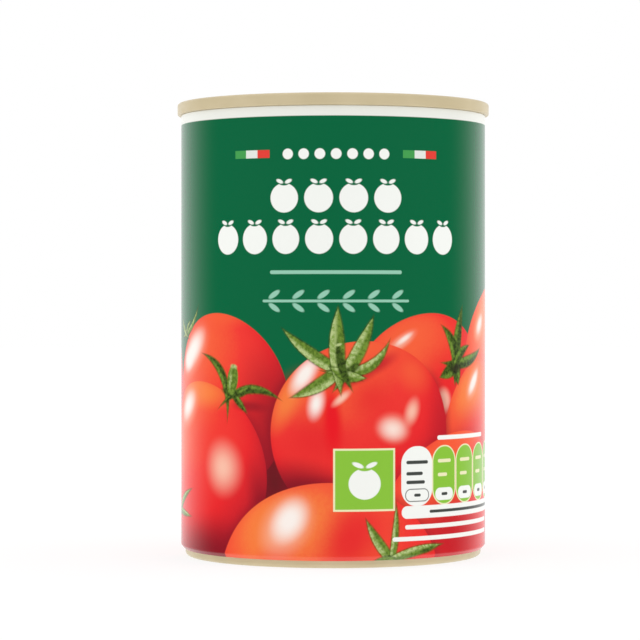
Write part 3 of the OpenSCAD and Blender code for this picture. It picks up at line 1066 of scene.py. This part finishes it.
# ---------------------------------------------------------------- studio
# How much more light comes from the sides, and the floor's half width, whiteness and own glow
SIDE_LIGHT = 0.9
FLOOR_HALF = 3.0
FLOOR_WHITE = 0.25
FLOOR_GLOW = 0.78
# The camera's distance in label radii, its height, and its focal length and shifts as shares of the
# picture's width
CAMERA_AWAY = 17.12
CAMERA_Z = 60.4 * MM
FOCAL_SHARE = 4.0547
SHIFT_X = -0.02055
SHIFT_Y = -0.0236


def make_world():
    """White studio: shiny surfaces see a dark side in front, and the sides give a little more light."""
    world = bpy.data.worlds.new("studio")
    world.use_nodes = True
    # Each kind of ray sees its own sky, so the sky isn't sampled as a lamp
    world.cycles.sampling_method = "NONE"
    tree = world.node_tree
    tree.nodes.clear()
    way = node(tree, "ShaderNodeTexCoord").outputs["Generated"]
    side, back, up = node(tree, "ShaderNodeSeparateXYZ", {0: way}).outputs
    rays = node(tree, "ShaderNodeLightPath").outputs
    overhead = ramp(tree, maths(tree, "ABSOLUTE", up), 0.3, 0.8, 0.0, 1.0)
    mirrored = maths(tree, "MAXIMUM", ramp(tree, back, 0.1, 0.9, 0.0, 1.0), overhead)
    soft = maths(tree, "MULTIPLY_ADD", maths(tree, "MULTIPLY", side, side), SIDE_LIGHT, 1 - SIDE_LIGHT / 4)
    light = blend(tree, rays["Is Glossy Ray"], soft, mirrored)
    light = blend(tree, rays["Is Camera Ray"], light, (1, 1, 1, 1))
    shade = node(tree, "ShaderNodeBackground", {"Color": light, "Strength": 1.0})
    node(tree, "ShaderNodeOutputWorld", {"Surface": shade.outputs[0]})
    bpy.context.scene.world = world


def make_floor():
    """Plain white floor, lit a little from below, that fades into the white surroundings."""
    build = bmesh.new()
    corners = ((-1, -1), (1, -1), (1, 1), (-1, 1))
    build.faces.new([build.verts.new((x * FLOOR_HALF, y * FLOOR_HALF, 0)) for x, y in corners])
    floor = finish_mesh("floor", build)
    made, tree, shader = new_material("floor_white")
    shader.inputs["Base Color"].default_value = (FLOOR_WHITE, FLOOR_WHITE, FLOOR_WHITE, 1)
    shader.inputs["Emission Color"].default_value = (1, 1, 1, 1)
    shader.inputs["Emission Strength"].default_value = FLOOR_GLOW
    shader.inputs["Roughness"].default_value = 0.9
    shader.inputs["Specular IOR Level"].default_value = 0.0
    floor.data.materials.append(made)
    floor.visible_glossy = False


def make_camera():
    """Level camera in front of the label, a little above half of the tin's height."""
    data = bpy.data.cameras.new("view")
    data.sensor_width = 36.0
    data.lens = data.sensor_width * FOCAL_SHARE
    data.shift_x = SHIFT_X
    data.shift_y = SHIFT_Y
    camera = link_object("view", data)
    camera.location = (0, -CAMERA_AWAY * WRAP_R, CAMERA_Z)
    camera.rotation_euler = (math.pi / 2, 0, 0)
    bpy.context.scene.camera = camera


# ---------------------------------------------------------------- build
def dress(piece, material, slot, *nodes):
    """Gives a piece its material and its body, and says which CAD nodes it replaces; slot is not used."""
    piece.data.materials.clear()
    piece.data.materials.append(material)
    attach(piece, "root")
    if nodes:
        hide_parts(*nodes)


# Each metal's main colour and its deeper blotches
SHELL = (srgb(211, 195, 158), srgb(205, 189, 151))
BRIGHT = (srgb(214, 208, 196), srgb(204, 198, 186))
body_metal = metal("body_lacquer", *SHELL, ring=FOOT_IN_R, metallic=(0.5, 0.05), rough=(0.25, 0.34))
end_metal = metal("end_lacquer", *SHELL, ring=SEAM_IN_R, metallic=(0.65, 0.05), rough=(0.2, 0.34))
tab_metal = metal("bright_tin", *BRIGHT, ring=SEAM_IN_R, metallic=(0.92, 0.92), rough=(0.2, 0.2))

dress(make_body(), body_metal, "lacquered_tinplate", "can_body")
dress(make_end(), end_metal, "lacquered_end", "can_end")
dress(make_rivet(), end_metal, "lacquered_end")
dress(make_tab(), tab_metal, "bright_tinplate", "ring_pull")
dress(make_label(), make_print(), "printed_paper", "label")

make_world()
make_floor()
make_camera()
bpy.context.scene.view_settings.view_transform = "Standard"
